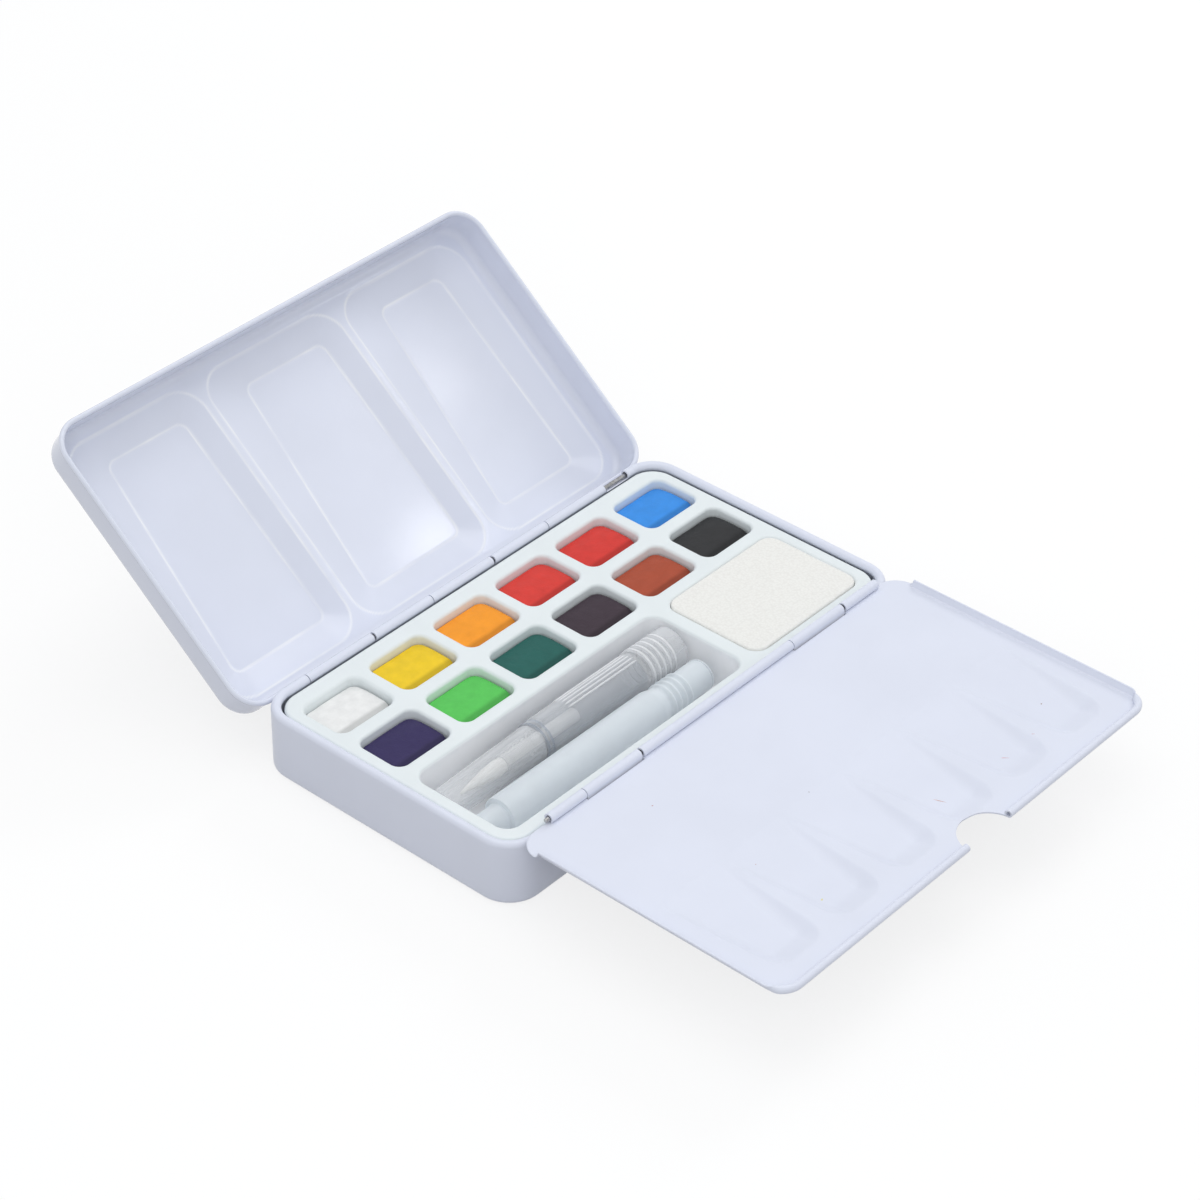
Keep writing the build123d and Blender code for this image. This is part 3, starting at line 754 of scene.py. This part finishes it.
def build_flap():
    """Pressed leaf with a curled edge, turned-up ends, six wells, a thumb notch and knuckles."""
    half_y = FLAP["reach"] / 2
    middle_y = FRONT_HINGE[0] - half_y
    shape = outline(FLAP["half_x"], half_y, FLAP["corner"], STEP)
    shell = Shell(shape)
    mid = SHEET / 2
    leaf = FLAP["underside"] + mid
    border = ring_at(shape, 0.0)
    out = half_y - border[:, 1]
    on_end = smooth_step(out, 6.3, 6.9)
    on_edge = smooth_step(out, FLAP["reach"] - 5.5, FLAP["reach"] - 2.5)
    count = 26
    curl = [(2.2, 0), (1.6, 0)] + arc((1.0, 0.8), 0.8, -90, -90 - 300, count - 2)
    wall_height = FLAP["flange"] - mid
    flange = [(2.2, 0), (1.9, 0)] + arc((1.55, 0.7), 0.7, -90, -170, 8)
    top = flange[-1]
    rise = wall_height - 0.25
    flange += [(top[0] - 0.55 * k / 8, top[1] + (rise - top[1]) * k / 8) for k in range(1, 9)]
    flange += arc((0.28, rise), 0.12, 0, 200, count - len(flange))
    flat = [(2.2 - 2.2 * k / (count - 1), 0) for k in range(count)]
    curl, flange, flat = (thick_line(line, SHEET) for line in (curl, flange, flat))

    def rim(axis):
        """One measure of the rim's profile all round: flat, then the flange, then the curl."""
        raised = flange[:, axis, None] * (1 - on_edge) + curl[:, axis, None] * on_edge
        return flat[:, axis, None] * (1 - on_end) + raised * on_end

    offsets, heights = rim(0), rim(1)
    rings = [shell.add_ring(ring_at(shape, o), leaf + h) for o, h in zip(offsets, heights)]
    shell.bridge(rings)
    for index, side in ((0, -mid), (-1, mid)):

        def height(x, y, side=side):
            return leaf + side - flap_drop(x, half_y - y)

        shell.cap(rings[index], ring_at(shape, offsets[index]), 4.6, height)
    placed = [(x, y + middle_y, z) for x, y, z in shell.vertices]
    flap = make_object("flap_leaf", placed, shell.faces, "flap", flap_enamel, ("mixing_flap",), 60)
    edge_y = FRONT_HINGE[0] - FLAP["reach"]
    cutters = [cutter_disc((NOTCH["x"], edge_y, leaf), NOTCH["radius"], 12)]
    for start, end in TIN_TABS:
        span = (start - KNUCKLE_GAP, end + KNUCKLE_GAP)
        cutters.append(cutter_box(span, (FRONT_HINGE[0] - 1.65, FRONT_HINGE[0] + 2), (leaf - 1, leaf + 1)))
    cut_with(flap, cutters, 60)
    y, z = FRONT_HINGE
    line = [(y - 2.2, leaf + 0.02), (y - 1.0, leaf)] + arc((y, z), CURL - mid, -90, 215, 27)
    spans = [(start + KNUCKLE_GAP + OPEN_GAP / 2, end - KNUCKLE_GAP) for start, end in FLAP_KNUCKLES]
    knuckles = curled_strips("flap_knuckles", line, spans, "flap", flap_enamel)


# Tray
def pocket_list():
    """Left, right, front, back, depth and corner radius of every pocket, cakes first."""
    pockets = []
    for front in ROW_FRONTS:
        back = front + PAN["width"]
        for left in PAN_LEFTS:
            pockets.append((left, left + PAN["length"], front, back, PAN["depth"], PAN["corner"]))
    lower = (LOWER_FRONT, LOWER_BACK)
    sponge_x = (PAN_LEFTS[4], PAN_LEFTS[5] + PAN["length"])
    pockets.append((PAN_LEFTS[0], TROUGH["right"], *lower, TROUGH["depth"], TROUGH["corner"]))
    pockets.append((*sponge_x, *lower, SPONGE["depth"], TROUGH["corner"]))
    return pockets


def build_tray():
    """Moulded tray with a rounded rim, a skirt and cups with soft edges."""
    mesh = bpy.data.meshes.new("tray_moulding")
    work = bmesh.new()
    top, step = TRAY["top"], 3.0

    def loops_from(box, corner, corner_steps, points, last_filled):
        """Adds the rings of a profile round a box and returns the edges of the first."""
        left, right, front, back = box
        shape = outline((right - left) / 2, (back - front) / 2, corner, step, corner_steps)
        centre = np.array(((left + right) / 2, (front + back) / 2))
        rings = []
        for offset, drop in points:
            flat = ring_at(shape, offset) + centre
            rings.append([work.verts.new((MM * x, MM * y, MM * (top - drop))) for x, y in flat])
        count = len(rings[0])
        for ring_a, ring_b in zip(rings, rings[1:]):
            for i in range(count):
                j = (i + 1) % count
                work.faces.new((ring_a[i], ring_a[j], ring_b[j], ring_b[i]))
        if last_filled:
            work.faces.new(rings[-1])
        first = rings[0]
        return [work.edges.get((first[i], first[(i + 1) % count])) for i in range(count)]

    borders = []
    for *box, depth, corner in pocket_list():
        wall = depth - POCKET_FLOOR_EDGE - POCKET_EDGE
        points = arc((-POCKET_EDGE, POCKET_EDGE), POCKET_EDGE, -90, 0, 9)
        points += [(DRAFT * k / 4, POCKET_EDGE + wall * k / 4) for k in range(1, 5)]
        floor_centre = (DRAFT + POCKET_FLOOR_EDGE, depth - POCKET_FLOOR_EDGE)
        points += arc(floor_centre, POCKET_FLOOR_EDGE, 165, 90, 6)
        borders += loops_from(box, corner, 16, points, True)
    skirt = arc((TRAY_EDGE, TRAY_EDGE), TRAY_EDGE, -90, -180, 11)
    skirt += [(0.0, 4.0), (0.0, 9.0), (0.0, top - TRAY_BOTTOM)]
    box = [TRAY[side] for side in ("left", "right", "front", "back")]
    borders += loops_from(box, TRAY["corner"], 20, skirt, False)
    bmesh.ops.triangle_fill(work, use_beauty=True, use_dissolve=False, edges=borders)
    bmesh.ops.recalc_face_normals(work, faces=work.faces)
    if sum(face.normal.z * face.calc_area() for face in work.faces) < 0:
        bmesh.ops.reverse_faces(work, faces=work.faces)
    work.to_mesh(mesh)
    work.free()
    tray = link_new("tray_moulding", mesh)
    thickness = tray.modifiers.new("wall", "SOLIDIFY")
    thickness.thickness = MM * TRAY_WALL
    thickness.offset = -1
    bpy.context.view_layer.update()
    apply_modifiers(tray)
    paint_stains_and_light(tray.data)
    finish_shading(tray.data, 50)
    tray.data.materials.append(tray_white)
    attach(tray, "root")
    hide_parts("paint_tray")


def paint_stains_and_light(mesh):
    """Stores, per vertex, the nearest cake's colour and how far it has stained the pocket there, and
    near-white painted light inside the lower pockets.
    """
    attribute = mesh.color_attributes.new("stain_and_painted_light", "FLOAT_COLOR", "POINT")
    cakes = list(CAKES.values())
    centres = [((box[0] + box[1]) / 2, (box[2] + box[3]) / 2) for box in pocket_list()[:len(cakes)]]
    half_x, half_y = PAN["length"] / 2, PAN["width"] / 2
    edge, lower_end = 0.9, 67.5
    for vertex, data in zip(mesh.vertices, attribute.data):
        x, y, z = vertex.co / MM
        depth = TRAY["top"] - z
        gaps = [max(abs(x - cx) - half_x, abs(y - cy) - half_y) for cx, cy in centres]
        gap = min(gaps)
        paint, strength = cakes[gaps.index(gap)]
        colour = tuple(0.15 + 0.70 * c for c in paint)
        amount = strength * min(1.0, max(0.0, (depth - 0.8) / 2.4)) if gap < edge else 0.0
        in_lower_pockets = LOWER_FRONT - edge < y < LOWER_BACK + edge and abs(x) < lower_end
        # Painted light: the shaded insides of the trough and sponge pocket are lightened to near white
        if in_lower_pockets and depth > 0.3:
            colour, amount = (0.97, 0.98, 1.0), 2 * min(1.0, depth / 2)
        data.color = (*colour, amount)


# Cakes and sponge
def build_block(name, centre, half, corner, floor, height, edge, material, node, step):
    """A soft-edged block whose top follows a height function of x and y from its centre."""
    shape = outline(half[0], half[1], corner, step, 12)
    shell = Shell(shape)
    foot = ring_at(shape, 0.35)
    flat = ring_at(shape, 0.0)
    wall_top = height(flat[:, 0], flat[:, 1]) - edge
    rings = [shell.add_ring(foot, floor), shell.add_ring(flat, floor + 0.4)]
    rings += [shell.add_ring(flat, floor + (wall_top - floor) * share) for share in (0.35, 0.7)]
    for angle in np.radians(np.linspace(0, 90, 9)):
        flat = ring_at(shape, edge * (1 - math.cos(angle)))
        level = height(flat[:, 0], flat[:, 1]) - edge * (1 - math.sin(angle))
        rings.append(shell.add_ring(flat, level))
    shell.bridge(rings)
    inset = edge + 1.6
    shell.cap(rings[-1], ring_at(shape, edge), inset, height, 4)
    shell.cap(rings[0], foot, inset, flat_height(floor), 4)
    placed = [(x + centre[0], y + centre[1], z) for x, y, z in shell.vertices]
    return make_object(name, placed, shell.faces, "root", material, (node,), 75)


def rough(x, y, scale, seed):
    """Smooth noise over a plane, about -1 to 1."""
    at = np.vectorize(lambda a, b: noise.noise(Vector((a * scale, b * scale, seed))))
    return at(x, y)


def build_cakes():
    """Twelve pressed cakes with arched, slightly uneven tops and a bevel along the front."""
    floor = TRAY["top"] - PAN["depth"]
    gap, end_gap, sunk, bevel = 0.2, 0.7, 1.5, 2.8
    half = (PAN["length"] / 2 - (gap + end_gap) / 2, PAN["width"] / 2 - gap)
    for index, name in enumerate(CAKES):
        row, column = divmod(index, len(PAN_LEFTS))
        middle_x = PAN_LEFTS[column] + (PAN["length"] + gap - end_gap) / 2
        centre = (middle_x, ROW_FRONTS[row] + PAN["width"] / 2)

        def height(x, y, index=index):
            back_fall = 0.9 * np.clip(y / half[1], 0, 1) ** 2
            front_fall = 0.25 * np.clip(-y / half[1], 0, 1) ** 2
            front_fall = front_fall + 0.42 * soft_positive(bevel - half[1] - y, 0.5)
            dip = 0.25 * np.abs(x / half[0]) ** 6
            lumps = 0.07 * rough(x, y, 0.22, 7.3 * index) + 0.02 * rough(x, y, 1.1, 3.1 * index)
            return TRAY["top"] - sunk - back_fall - front_fall - dip + lumps

        cake = build_block(
            f"cake_{name}_block", centre, half, 2.4, floor, height, 0.7,
            cake_materials[name], f"paint_cake_{name}", 0.6,
        )


def build_sponge():
    """Soft open-celled block with a faintly uneven top."""
    left, right, front, back = pocket_list()[-1][:4]
    centre = ((left + right) / 2, (front + back) / 2)
    half = ((right - left) / 2 - SPONGE["gap"] / 2, (back - front) / 2 - SPONGE["gap"] / 2)

    def height(x, y):
        swell = 0.10 * rough(x, y, 0.12, 1.7) + 0.03 * rough(x, y, 0.9, 4.4) + 0.015 * rough(x, y, 2.3, 9.1)
        return SPONGE["top"] - 0.22 + swell

    sponge = build_block(
        "sponge_block", centre, half, 3.8, TRAY["top"] - SPONGE["depth"], height, 0.5,
        sponge_foam, "sponge", 0.35,
    )


# Water brush
THREAD_TURNS, THREAD_PITCH = 4, 2.0
FLUTES = (40, 53, 66, 79, 92, 105, 220, 233, 246, 259, 272, 285)


def soft_profile(points, radius):
    """A profile with three points in place of each inner corner, which round it."""
    soft = [points[0]]
    for before, corner, after in zip(points, points[1:], points[2:]):
        corner = np.array(corner)
        sides = []
        for other in (before, after):
            gap = other - corner
            length = math.hypot(*gap)
            sides.append(corner + gap / length * min(radius, 0.45 * length))
        soft += [sides[0], (sides[0] + sides[1]) / 4 + corner / 2, sides[1]]
    soft.append(points[-1])
    return soft


def turned(name, profile, place, segments, material, replaces, sharp_angle, radius=0.25):
    """A piece turned along X, with the corners of its profile rounded."""
    vertices, faces = lathe(soft_profile(profile, radius), *place, segments)
    return make_object(name, vertices, faces, "root", material, replaces, sharp_angle)


def rib_along_x(start, end, place, radius):
    """A thin round rib along X with pointed ends."""
    count, taper = 6, 1.2
    vertices = []
    for x, share in ((start, 0.2), (start + taper, 1.0), (end - taper, 1.0), (end, 0.2)):
        vertices += [(x, *point) for point in arc(place, radius * share, 0, 300, count)]
    faces = tube_faces(count, 3)
    faces.append(tuple(range(count)))
    faces.append(tuple(range(4 * count - 1, 3 * count - 1, -1)))
    return vertices, faces


def build_brush_head():
    """Clear fluted grip with an inner thread, its cap, the bristles and the fibre feed."""
    place = y, z = -12.2, 11.5
    collar, grip, socket, right = -33.4, -31.0, 4.5, 18.3
    outer = [(-44.5, 2.0), (-44.5, 2.6), (-36.0, 3.4), (-36.0, 4.2), (collar, 4.2)]
    outer += [(collar, 5.3), (grip, 5.3), (grip + 0.4, 5.5)]
    outer += [(socket - 0.4, 5.5), (socket, 5.9), (right, 5.9)]
    inner = [(right, 5.15)]
    for turn in reversed(range(THREAD_TURNS + 1)):
        start = socket + 0.8 + turn * THREAD_PITCH
        inner += [(start + 1.3, 5.15), (start + 0.9, 4.75), (start + 0.4, 4.75), (start, 5.15)]
    inner += [(socket, 4.7), (grip, 4.7), (grip, 2.0)]
    moulding = turned("brush_grip_moulding", outer + inner, place, 96, clear, ("brush_grip",), 40)
    rings = []
    for x in (collar + 0.35, grip - 0.35):
        profile = [(x - 0.3, 5.0), (x - 0.2, 5.36), (x + 0.2, 5.36), (x + 0.3, 5.0)]
        rings.append(lathe(profile, y, z, 64))
    bands = make_object("brush_grip_collar", *join_meshes(rings), "root", shade_plastic, (), 50)
    # White ribs on the flutes and thread rings: painted highlights along the clear grip's ridges
    ribs = []
    for degrees in FLUTES:
        angle = math.radians(degrees)
        foot = (y + 5.38 * math.cos(angle), z + 5.38 * math.sin(angle))
        ribs.append(rib_along_x(grip + 9.0, socket - 0.9, foot, 0.24))
    for turn in range(THREAD_TURNS + 1):
        x = socket + 1.3 + turn * THREAD_PITCH
        profile = [(x - 0.4, 5.3), (x - 0.3, 5.95), (x + 0.3, 5.95), (x + 0.4, 5.3)]
        ribs.append(lathe(profile, y, z, 64))
    flutes = make_object("brush_grip_flutes", *join_meshes(ribs), "root", flute_highlight, (), 50)
    # A dark core inside the grip: painted shade for its inside seen through the clear plastic
    inside = [(grip + 0.3, 0.0), (grip + 0.3, 4.5), (socket - 0.3, 4.5), (socket - 0.3, 0.0)]
    core = turned("brush_grip_shade_core", inside, place, 64, shade_plastic, (), 50)
    profile = [(-66.0, 0.0), (-66.0, 4.2), (collar - 1.9, 4.95), (collar - 1.9, 5.0)]
    profile += [(collar - 0.1, 5.0), (collar - 0.1, 4.3), (-36.0, 4.3), (-65.2, 3.45), (-65.2, 0.0)]
    cap = turned("brush_cap_moulding", profile, place, 96, clear, ("brush_cap",), 40, 0.6)
    profile = [(-42.6, 0.0), (-42.6, 1.85), (-44.5, 1.9), (-46.5, 2.1), (-49.0, 1.95), (-52.0, 1.55)]
    profile += [(-55.0, 1.05), (-57.5, 0.6), (-59.3, 0.15), (-59.5, 0.0)]
    hairs = lathe(profile, y, z, 64)
    tuft = make_object("brush_tuft_hairs", *hairs, "root", bristles, ("brush_tuft",), 60)
    profile = [(-42.5, 0.0), (-42.5, 1.85), (-18.0, 1.85), (-18.0, 0.0)]
    feed_rod = turned("brush_feed_fibre", profile, place, 64, bristles, ("brush_feed",), 50)


def build_reservoir():
    """Frosted squeezable barrel with a shoulder, a ringed neck, a stub and a plug."""
    place = (-24.3, 10.6)
    left, right, neck, end = -58.5, -3.0, -0.5, 15.5
    outer = [(-64.8, 0.0), (-64.8, 3.6), (left, 3.6), (left, 5.0), (right, 5.0), (neck, 4.3)]
    for turn in range(THREAD_TURNS):
        start = neck + 0.8 + turn * THREAD_PITCH
        outer += [(start, 4.3), (start + 0.35, 4.82), (start + 0.95, 4.82), (start + 1.3, 4.3)]
    inner = [(end, 4.3), (end, 3.6), (neck, 3.6), (right, 4.3), (left + 0.7, 4.3), (left + 0.7, 0.0)]
    barrel = turned(
        "reservoir_bottle", outer + inner, place, 96, frosted, ("reservoir_barrel",), 45, 0.55
    )
    profile = [(12.5, 0.0), (12.5, 3.5), (15.52, 3.5), (15.52, 4.25), (16.1, 4.25), (16.1, 0.0)]
    plug = turned("reservoir_stopper", profile, place, 96, frosted, ("reservoir_plug",), 45, 0.2)


def build_wires():
    """Steel hinge wires, thinner than the curls that hold them, with rounded ends."""
    spans = {"lid_hinge_wire": (BACK_HINGE, -59.3, 64.0), "flap_hinge_wire": (FRONT_HINGE, -61.4, 64.2)}
    for node, (place, start, end) in spans.items():
        profile = [(start, 0.0), (start, WIRE), (end, WIRE), (end, 0.0)]
        wire = turned(f"{node}_drawn", profile, place, 32, wire_steel, (node,), 50, 0.3)


def build_specks():
    """Dried flecks of paint on the mixing flap."""
    leaf = FLAP["underside"] + SHEET
    count = 14
    angles = 2 * np.pi * np.arange(count) / count
    for index, (x, y, length, width, degrees, colour) in enumerate(FLECKS):
        turn = math.radians(degrees)
        ragged = 1 + 0.25 * np.sin(3 * angles + index)
        along = length / 2 * ragged * np.cos(angles)
        across = width / 2 * ragged * np.sin(angles)
        flat_x = np.append(x, x + along * math.cos(turn) - across * math.sin(turn))
        flat_y = np.append(y, y + along * math.sin(turn) + across * math.cos(turn))
        rise = np.append(0.06, np.full(count, -0.03))
        height = leaf - flap_drop(flat_x, FRONT_HINGE[0] - flat_y) + rise
        faces = [(0, k + 1, (k + 1) % count + 1) for k in range(count)]
        faces.append(tuple(range(count, 0, -1)))
        vertices = list(zip(flat_x, flat_y, height))
        make_object(f"fleck_{index}", vertices, faces, "flap", cake_paint(f"fleck_{index}", colour))


build_tin()
build_lid()
build_flap()
build_tray()
build_cakes()
build_sponge()
build_brush_head()
build_reservoir()
build_wires()
build_specks()

# Camera, from the photograph's vanishing lines
AZIMUTH, ELEVATION, ROLL = -49.517, 36.507, 1.0
CAMERA_PLACE = (-0.53820, -0.46375, 0.55625)
LENS = 107.36
AMBIENT = 0.64
WHITE = (1, 1, 1, 1)


def place_camera():
    """Places the camera as it was solved."""
    data = bpy.data.cameras.new("camera")
    data.lens = LENS
    data.sensor_width = 36
    data.clip_start = 0.01
    data.clip_end = 20
    camera = link_new("camera", data)
    place = Matrix.Translation(CAMERA_PLACE)
    for degrees, axis in ((AZIMUTH, "Z"), (90 - ELEVATION, "X"), (ROLL, "Z")):
        place = place @ Matrix.Rotation(math.radians(degrees), 4, axis)
    camera.matrix_world = place
    bpy.context.scene.camera = camera


def seen_rays(tree):
    """1 for camera, glossy and transmission rays, and 0 for the rays that carry light."""
    seen = add_node(tree, "LightPath", output="Is Camera Ray")
    for name in ("Is Glossy Ray", "Is Transmission Ray"):
        other = add_node(tree, "LightPath", output=name)
        seen = add_node(tree, "Math", {0: seen, 1: other}, operation="MAXIMUM")
    return seen


def build_world():
    """White surroundings to look at, and a slightly cool, even sky for light."""
    world = bpy.data.worlds.new("studio")
    bpy.context.scene.world = world
    world.use_nodes = True
    tree = world.node_tree
    ambient = tree.nodes["Background"]
    ambient.inputs["Color"].default_value = (0.96, 0.98, 1.0, 1)
    ambient.inputs["Strength"].default_value = AMBIENT
    backdrop = add_node(tree, "Background", {"Color": WHITE, "Strength": 1.0})
    camera_ray = add_node(tree, "LightPath", output="Is Camera Ray")
    both = {"Fac": camera_ray, 1: ambient.outputs["Background"], 2: backdrop}
    feed(tree, tree.nodes["World Output"].inputs["Surface"], add_node(tree, "MixShader", both))


def build_floor():
    """A floor that looks white with a faint shadow and throws back only some of the light."""
    mesh = bpy.data.meshes.new("floor")
    reach = 3.0
    corners = [(-reach, -reach, 0), (reach, -reach, 0), (reach, reach, 0), (-reach, reach, 0)]
    mesh.from_pydata(corners, [], [(0, 1, 2, 3)])
    floor = link_new("floor", mesh)
    material, tree = new_material("floor_white")
    dress(material, {
        "Base Color": colour_ramp(tree, object_noise(tree, 30, 2), (0.48, 0.48, 0.49), (0.52, 0.52, 0.53)),
        "Roughness": 0.9,
        "Specular IOR Level": 0.1,
    })
    lit = tree.nodes["Principled BSDF"].outputs["BSDF"]
    matt = add_node(tree, "BsdfDiffuse", {"Color": WHITE})
    white = add_node(tree, "Emission", {"Color": WHITE})
    shown = add_node(tree, "MixShader", {"Fac": 0.78, 1: matt, 2: white})
    mixed = add_node(tree, "MixShader", {"Fac": seen_rays(tree), 1: lit, 2: shown})
    feed(tree, tree.nodes["Material Output"].inputs["Surface"], mixed)
    mesh.materials.append(material)


def lamp(name, place, target, size, power, mirrored=True):
    """A soft rectangular lamp aimed at a point, which gloss may show or not."""
    data = bpy.data.lights.new(name, "AREA")
    data.shape = "RECTANGLE"
    data.size, data.size_y = size
    data.energy = power
    light = link_new(name, data)
    light.visible_glossy = mirrored
    turn = (Vector(target) - Vector(place)).to_track_quat("-Z", "Y").to_matrix().to_4x4()
    light.matrix_world = Matrix.Translation(place) @ turn


def build_stage():
    """Floor, surroundings and soft lamps."""
    bpy.context.scene.view_settings.view_transform = "Standard"
    build_world()
    build_floor()
    lamp("key", (1.25, 0.15, 0.78), (0.02, 0.04, 0.02), (0.45, 0.45), 4.5, False)
    lamp("fill", (-0.58, -0.50, 0.60), (0, 0, 0), (0.5, 0.5), 1.5, False)
    lamp("top", (0.10, 0.25, 1.60), (0, 0, 0), (1.6, 1.4), 6.0)
    lamp("spark_middle", (0.804, -0.540, 0.927), (0.009, 0.057, 0.016), (0.04, 0.04), 0.06)
    lamp("spark_right", (0.850, -0.454, 0.971), (0.033, 0.085, 0.045), (0.03, 0.06), 0.03)


place_camera()
build_stage()
